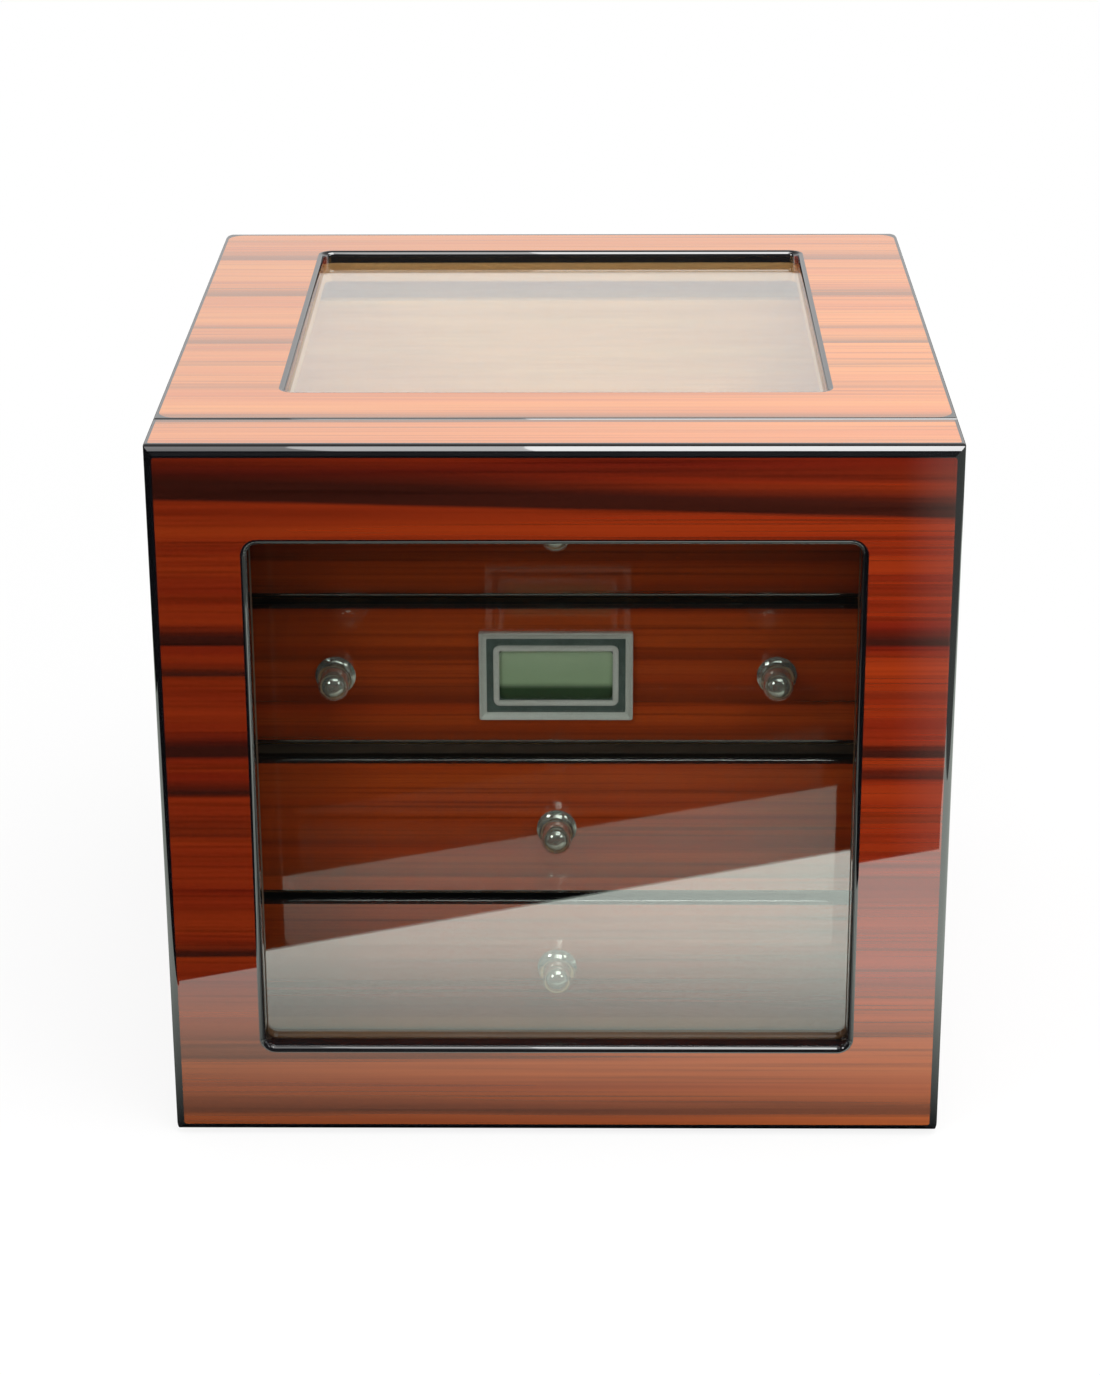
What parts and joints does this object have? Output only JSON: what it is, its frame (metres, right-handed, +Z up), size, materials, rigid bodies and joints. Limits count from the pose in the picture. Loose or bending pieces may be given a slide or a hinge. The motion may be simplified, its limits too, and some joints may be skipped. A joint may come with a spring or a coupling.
{
  "type": "cigar humidor",
  "caption": "Lacquered wooden desktop cigar humidor: glass top, hinged glass front door, cedar-lined drawers with round knobs and a digital hygrometer.",
  "frame": {"origin": "middle of the box's footprint, on the plane it stands on (underside of the felt)", "axes": "+X to the right seen from the front, +Y from the door to the back, +Z up"},
  "size_m": [0.3037, 0.314, 0.2842],
  "materials": {
    "lacquered_veneer": "gloss lacquer over dark red striped veneer, black edges",
    "drawer_veneer": "gloss lacquer over dark red striped veneer, black edges",
    "cedar": "raw planed cedar",
    "pane_glass": "clear float glass",
    "knob_chrome": "polished",
    "bezel_chrome": "polished",
    "hinge_brass": "satin",
    "screw_brass": "satin",
    "magnet_steel": "nickel plated",
    "cell_steel": "satin",
    "felt": "black felt",
    "foam": "open cell foam",
    "seal_rubber": "matt",
    "black_plastic": "fine moulded grain",
    "meter_face": "satin dark grey",
    "meter_silver": "silver paint",
    "display": "blank liquid crystal panel",
    "circuit_board": "green solder mask"
  },
  "bodies": {
    "case": {"case_left_side": "lacquered_veneer", "case_right_side": "lacquered_veneer", "case_base": "lacquered_veneer", "case_back": "lacquered_veneer", "case_top_frame": "lacquered_veneer", "top_glass": "pane_glass", "top_glass_bead": "cedar", "base_felt": "felt", "base_liner": "cedar", "ceiling_liner": "cedar", "back_liner": "cedar", "left_liner": "cedar", "right_liner": "cedar", "middle_shelf": "cedar", "drawer_runners": "cedar", "case_hinge_leaves": "hinge_brass", "hinge_pins": "hinge_brass", "case_hinge_screws": "screw_brass", "case_magnets": "magnet_steel"},
    "door": {"door_front_panel": "lacquered_veneer", "door_side_rims": "lacquered_veneer", "door_top_rim": "lacquered_veneer", "door_bottom_rim": "lacquered_veneer", "door_glass": "pane_glass", "door_glass_bead": "cedar", "door_seal": "seal_rubber", "door_magnets": "magnet_steel", "door_hinge_leaves": "hinge_brass", "door_hinge_screws": "screw_brass"},
    "drawer_1": {"drawer_1_front": "drawer_veneer", "drawer_1_knob": "knob_chrome", "drawer_1_sides": "cedar", "drawer_1_back": "cedar", "drawer_1_bottom": "cedar"},
    "drawer_2": {"drawer_2_front": "drawer_veneer", "drawer_2_knob": "knob_chrome", "drawer_2_sides": "cedar", "drawer_2_back": "cedar", "drawer_2_bottom": "cedar", "hygrometer_bezel": "bezel_chrome", "hygrometer_face": "meter_face", "hygrometer_window_ring": "meter_silver", "hygrometer_display": "display", "hygrometer_body": "black_plastic", "hygrometer_circuit_board": "circuit_board", "hygrometer_button_cell": "cell_steel", "hygrometer_battery_cover": "black_plastic"},
    "drawer_3": {"drawer_3_front": "drawer_veneer", "drawer_3_knob": "knob_chrome", "drawer_3_sides": "cedar", "drawer_3_back": "cedar", "drawer_3_bottom": "cedar"},
    "drawer_4": {"drawer_4_front": "drawer_veneer", "drawer_4_knob": "knob_chrome", "drawer_4_sides": "cedar", "drawer_4_back": "cedar", "drawer_4_bottom": "cedar", "humidifier_tray": "black_plastic", "humidifier_foam": "foam", "humidifier_lid": "black_plastic"}
  },
  "joints": [
    {"name": "door_hinge", "type": "hinge", "parent": "case", "child": "door", "pos_m": [-0.1519, -0.12315, 0.142], "axis": [0, 0, -1], "range_deg": [0, 180]},
    {"name": "drawer_1_slide", "type": "slide", "parent": "case", "child": "drawer_1", "axis": [0, -1, 0], "range_m": [0, 0.095]},
    {"name": "drawer_2_slide", "type": "slide", "parent": "case", "child": "drawer_2", "axis": [0, -1, 0], "range_m": [0, 0.12]},
    {"name": "drawer_3_slide", "type": "slide", "parent": "case", "child": "drawer_3", "axis": [0, -1, 0], "range_m": [0, 0.145]},
    {"name": "drawer_4_slide", "type": "slide", "parent": "case", "child": "drawer_4", "axis": [0, -1, 0], "range_m": [0, 0.17]}
  ],
  "couplings": [
    {"joint": "drawer_1_slide", "follows": "door_hinge", "m_per_rad": 0.0302},
    {"joint": "drawer_2_slide", "follows": "door_hinge", "m_per_rad": 0.0381},
    {"joint": "drawer_3_slide", "follows": "door_hinge", "m_per_rad": 0.0461},
    {"joint": "drawer_4_slide", "follows": "door_hinge", "m_per_rad": 0.0541}
  ]
}
